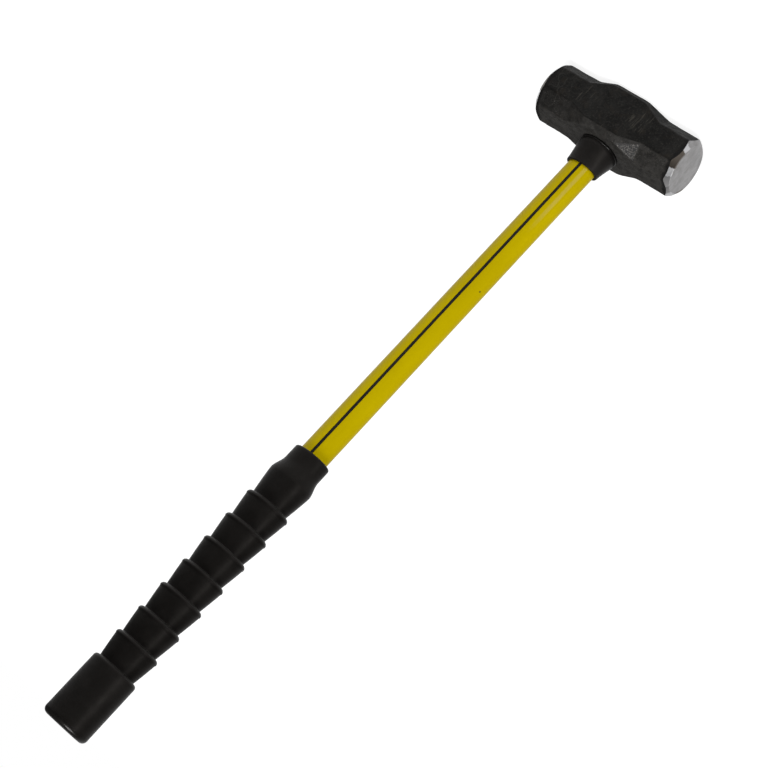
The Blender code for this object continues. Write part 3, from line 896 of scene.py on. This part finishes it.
def yellow_moulding():
    """Yellow moulded plastic, with a glossier line near the collar and a small nick further up."""
    s = Surface("yellow_moulding")
    x = s.axis("X")
    z = s.axis("Z")
    front = s.remap(s.minus(s.axis("Y")), 0, 2 * MM)
    clouds = s.remap(s.noise(60 * MM, 4, 0.6, stretch=(1, 1, 0.35)), 0.35, 0.65)
    colour = s.blend(clouds, (0.435, 0.33, 0.0004), (0.47, 0.36, 0.0005))
    grime = s.times(s.remap(s.noise(4 * MM, 5, 0.7), 0.64, 0.8), 0.5)
    colour = s.blend(grime, colour, (0.33, 0.235, 0.004))
    nick = s.times(s.band(x, -13 * MM, 0.4 * MM, 0.3 * MM), s.band(z, 253 * MM, 0.7 * MM, 0.4 * MM))
    colour = s.blend(s.times(nick, front), colour, (0.1, 0.09, 0.01))
    s.feed("Base Color", colour)
    s.rough(s.noise(3 * MM, 4, 0.6, stretch=(1, 1, 0.08)), 0.24, 0.32)
    s.set(Specular_IOR_Level=0.1, Specular_Tint=(1.0, 0.82, 0.0, 1.0), Coat_Roughness=0.2)
    line = s.band(x, -8 * MM, 1.3 * MM, 0.8 * MM)
    glossy = s.times(line, s.remap(z, 135 * MM, 180 * MM, 1.0, 0.0))
    s.feed("Coat Weight", s.times(glossy, front))
    skin = s.bump(s.noise(1.4 * MM, 3, 0.6, stretch=(1, 1, 0.05)), 0.015 * MM)
    s.feed("Normal", s.bump(s.noise(12 * MM, 3, 0.5), 0.08 * MM, skin))
    return s.material


def black_strip():
    s = Surface("black_strip")
    clouds = s.remap(s.noise(5 * MM, 4, 0.6, stretch=(1, 1, 0.2)), 0.35, 0.7)
    s.feed("Base Color", s.blend(clouds, (0.008, 0.0075, 0.007), (0.014, 0.0135, 0.0125)))
    s.rough(s.noise(2 * MM, 3, 0.6), 0.45, 0.62)
    s.set(Specular_IOR_Level=0.1)
    s.feed("Normal", s.bump(s.noise(0.8 * MM, 3, 0.6, stretch=(1, 1, 0.1)), 0.03 * MM))
    return s.material


def black_rubber(name, dark, light, dust_and_sheen):
    """Moulded rubber: satin, with dust and a painted sheen where "rim" is marked, painted shade at "foot"
    and polished at "shine".
    """
    s = Surface(name)
    colour = s.blend(s.remap(s.noise(14 * MM, 5, 0.6), 0.35, 0.7), dark, light)
    patchy_dust_and_sheen = s.remap(s.noise(3 * MM, 4, 0.7), 0.3, 0.7, 0.2, 0.9)
    # dust and a painted sheen where "rim" is marked
    colour = s.blend(s.times(s.times(s.attribute("rim"), patchy_dust_and_sheen), 0.8), colour, dust_and_sheen)
    scuffs = s.times(s.remap(s.noise(2.6 * MM, 5, 0.75), 0.66, 0.8), 0.5)
    colour = s.blend(scuffs, colour, dust_and_sheen)
    # painted shade where "foot" is marked, at the collar's foot next to the head
    colour = s.blend(s.times(s.attribute("foot"), 0.8), colour, (0.0025, 0.0022, 0.002))
    s.feed("Base Color", colour)
    s.rough(s.noise(8 * MM, 5, 0.6), 0.37, 0.45)
    s.feed("Coat Weight", s.times(s.attribute("shine"), 0.5))
    s.set(Specular_IOR_Level=0.1, Specular_Tint=(1.0, 0.93, 0.87, 1.0), Coat_Roughness=0.2)
    skin = s.bump(s.noise(0.5 * MM, 3, 0.6), 0.03 * MM)
    s.feed("Normal", s.bump(s.noise(7 * MM, 4, 0.5), 0.12 * MM, skin))
    return s.material


def cast_resin():
    s = Surface("cast_resin")
    clouds = s.remap(s.noise(4 * MM, 5, 0.6), 0.35, 0.7)
    s.feed("Base Color", s.blend(clouds, (0.055, 0.045, 0.034), (0.12, 0.1, 0.075)))
    s.rough(s.noise(3 * MM, 4, 0.6), 0.2, 0.42)
    s.feed("Normal", s.bump(s.noise(2.5 * MM, 3, 0.5), 0.12 * MM))
    return s.material


def foam_rubber():
    s = Surface("foam_rubber")
    pores = s.cells(1.2 * MM)
    s.feed("Base Color", s.blend(s.remap(pores, 0.1, 0.5), (0.018, 0.018, 0.018), (0.05, 0.05, 0.05)))
    s.rough(s.noise(2 * MM, 3, 0.6), 0.8, 0.95)
    s.feed("Normal", s.bump(pores, 0.2 * MM))
    return s.material


def fibre_rod():
    """Pultruded glass fibre: fine lengthwise strands, dotted on the sawn end."""
    s = Surface("fibre_rod")
    strands = s.noise(0.6 * MM, 3, 0.65, stretch=(1, 1, 0.02))
    s.feed("Base Color", s.blend(s.remap(strands, 0.35, 0.65), (0.42, 0.36, 0.22), (0.66, 0.61, 0.46)))
    s.rough(strands, 0.38, 0.6)
    s.feed("Normal", s.bump(strands, 0.06 * MM))
    return s.material


COLLAR_COLOURS = ((0.009, 0.0082, 0.0077), (0.0118, 0.0108, 0.0101), (0.025, 0.024, 0.022))
GRIP_COLOURS = ((0.0036, 0.0032, 0.0029), (0.006, 0.0054, 0.005), (0.02, 0.019, 0.018))


def paint_node(name, material):
    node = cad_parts[name]
    node.data.materials.clear()
    node.data.materials.append(material)


# ---------------------------------------------------------------- studio

FLOOR_HALF = 30.0
FLOOR_DROP = 0.2 * MM
FLOOR_GREY = 0.3
FLOOR_GLOW = 0.87

# The sky's light comes mostly from behind the hammer
SKY_FRONT = 0.06
SKY_BACK = 0.9
SKY_TOWARDS = (-0.35, 0.94, 0)

OVERHEAD_AZIMUTH = -32
OVERHEAD_ELEVATION = 66
OVERHEAD_SPREAD = 30
OVERHEAD_STRENGTH = 2.3
# Level lamps: name, azimuth, distance, the point they are aimed at, width and height, and power
SOFTBOXES = (
    ("side_strip", -48, 2.2, (0, 0, 0.8), (0.18, 1.2), 10),
    ("low_kicker", -47, 0.3, (-0.01, -0.008, 0.055), (0.05, 0.1), 0.1),
)

# The camera that sees the hammer at the photographed angle: rolled, so that the head is at the upper right
CAMERA_AZIMUTH = -27.655
CAMERA_ELEVATION = 14.352
CAMERA_ROLL = -137.103
CAMERA_DISTANCE = 1.88553
CAMERA_TARGET = Vector((-0.00256, 0, 0.381176))
CAMERA_LENS = 93.75
CAMERA_SENSOR = 36
CAMERA_CLIP = (0.05, 200)
CAMERA_SHIFT = 0.5 / 768


def build_floor():
    """A pale floor that is mostly lit from within, so that it reads as even white."""
    half = FLOOR_HALF
    mesh = bpy.data.meshes.new("studio_floor")
    corners = [(-half, -half, 0), (half, -half, 0), (half, half, 0), (-half, half, 0)]
    mesh.from_pydata(corners, [], [(0, 1, 2, 3)])
    floor = bpy.data.objects.new("studio_floor", mesh)
    floor.location.z = -FLOOR_DROP
    s = Surface("studio_paper")
    s.set(Roughness=0.9, Specular_IOR_Level=0.1)
    s.set(Base_Color=(FLOOR_GREY, FLOOR_GREY, FLOOR_GREY, 1))
    s.set(Emission_Color=(1, 1, 1, 1), Emission_Strength=FLOOR_GLOW)
    mesh.materials.append(s.material)
    bpy.context.scene.collection.objects.link(floor)


def away_from(azimuth, elevation):
    """The direction at this azimuth, in degrees from -Y towards +X, and elevation."""
    a = math.radians(azimuth)
    e = math.radians(elevation)
    return Vector((math.sin(a) * math.cos(e), -math.cos(a) * math.cos(e), math.sin(e)))


def add_lamp(name, kind, energy, away):
    """A lamp that shines from this direction."""
    data = bpy.data.lights.new(name, kind)
    data.energy = energy
    lamp = bpy.data.objects.new(name, data)
    lamp.rotation_mode = "QUATERNION"
    lamp.rotation_quaternion = away.to_track_quat("Z", "Y")
    bpy.context.scene.collection.objects.link(lamp)
    return lamp


def add_softbox(name, azimuth, distance, aim, size, power):
    """A soft rectangular lamp, level with the point it is aimed at."""
    away = away_from(azimuth, 0)
    lamp = add_lamp(name, "AREA", power, away)
    lamp.data.shape = "RECTANGLE"
    lamp.data.size, lamp.data.size_y = size
    lamp.location = Vector(aim) + away * distance
    lamp.visible_camera = False


def build_light():
    world = bpy.data.worlds.new("studio")
    world.use_nodes = True
    tree = world.node_tree
    backdrop = tree.nodes["Background"]
    backdrop.inputs["Color"].default_value = (1, 1, 1, 1)
    backdrop.inputs["Strength"].default_value = 1.0
    sky = tree.nodes.new("ShaderNodeBackground")
    sky.inputs["Color"].default_value = (1, 1, 1, 1)
    direction = tree.nodes.new("ShaderNodeVectorMath")
    direction.operation = "DOT_PRODUCT"
    tree.links.new(tree.nodes.new("ShaderNodeTexCoord").outputs["Generated"], direction.inputs[0])
    direction.inputs[1].default_value = SKY_TOWARDS
    strength = tree.nodes.new("ShaderNodeMapRange")
    limits = (("From Min", 0.45), ("From Max", 1.0), ("To Min", SKY_FRONT), ("To Max", SKY_BACK))
    for key, value in limits:
        strength.inputs[key].default_value = value
    tree.links.new(direction.outputs["Value"], strength.inputs["Value"])
    tree.links.new(strength.outputs["Result"], sky.inputs["Strength"])
    # the camera sees plain white past the floor, and the hammer is lit by the sky
    path = tree.nodes.new("ShaderNodeLightPath")
    choose = tree.nodes.new("ShaderNodeMixShader")
    tree.links.new(path.outputs["Is Camera Ray"], choose.inputs["Fac"])
    tree.links.new(sky.outputs["Background"], choose.inputs[1])
    tree.links.new(backdrop.outputs["Background"], choose.inputs[2])
    tree.links.new(choose.outputs["Shader"], tree.nodes["World Output"].inputs["Surface"])
    bpy.context.scene.world = world

    away = away_from(OVERHEAD_AZIMUTH, OVERHEAD_ELEVATION)
    overhead = add_lamp("overhead", "SUN", OVERHEAD_STRENGTH, away)
    overhead.data.angle = math.radians(OVERHEAD_SPREAD)
    for softbox in SOFTBOXES:
        add_softbox(*softbox)


def build_camera():
    roll = math.radians(CAMERA_ROLL)
    back = away_from(CAMERA_AZIMUTH, CAMERA_ELEVATION)
    level = Vector((0, 0, 1)).cross(back).normalized()
    upright = back.cross(level)
    right = math.cos(roll) * level + math.sin(roll) * upright
    up = back.cross(right)
    data = bpy.data.cameras.new("camera")
    data.lens = CAMERA_LENS
    data.sensor_width = CAMERA_SENSOR
    data.shift_x = -CAMERA_SHIFT
    data.shift_y = CAMERA_SHIFT
    data.clip_start, data.clip_end = CAMERA_CLIP
    camera = bpy.data.objects.new("camera", data)
    rotation = Matrix((right, up, back)).transposed().to_4x4()
    camera.matrix_world = Matrix.Translation(CAMERA_TARGET + back * CAMERA_DISTANCE) @ rotation
    bpy.context.scene.collection.objects.link(camera)
    bpy.context.scene.camera = camera


def main():
    build_head([forge_scale(), ground_steel()])
    build_epoxy(cast_resin())
    build_jacket(yellow_moulding())
    strip = black_strip()
    build_stripe("stripe_front", -1, strip)
    build_stripe("stripe_back", 1, strip)
    build_collar(black_rubber("collar_skin", *COLLAR_COLOURS))
    build_grip(black_rubber("grip_skin", *GRIP_COLOURS))
    paint_node("eye_dam", foam_rubber())
    paint_node("handle_core", fibre_rod())
    build_floor()
    build_light()
    build_camera()
    bpy.context.scene.view_settings.view_transform = "Standard"


main()
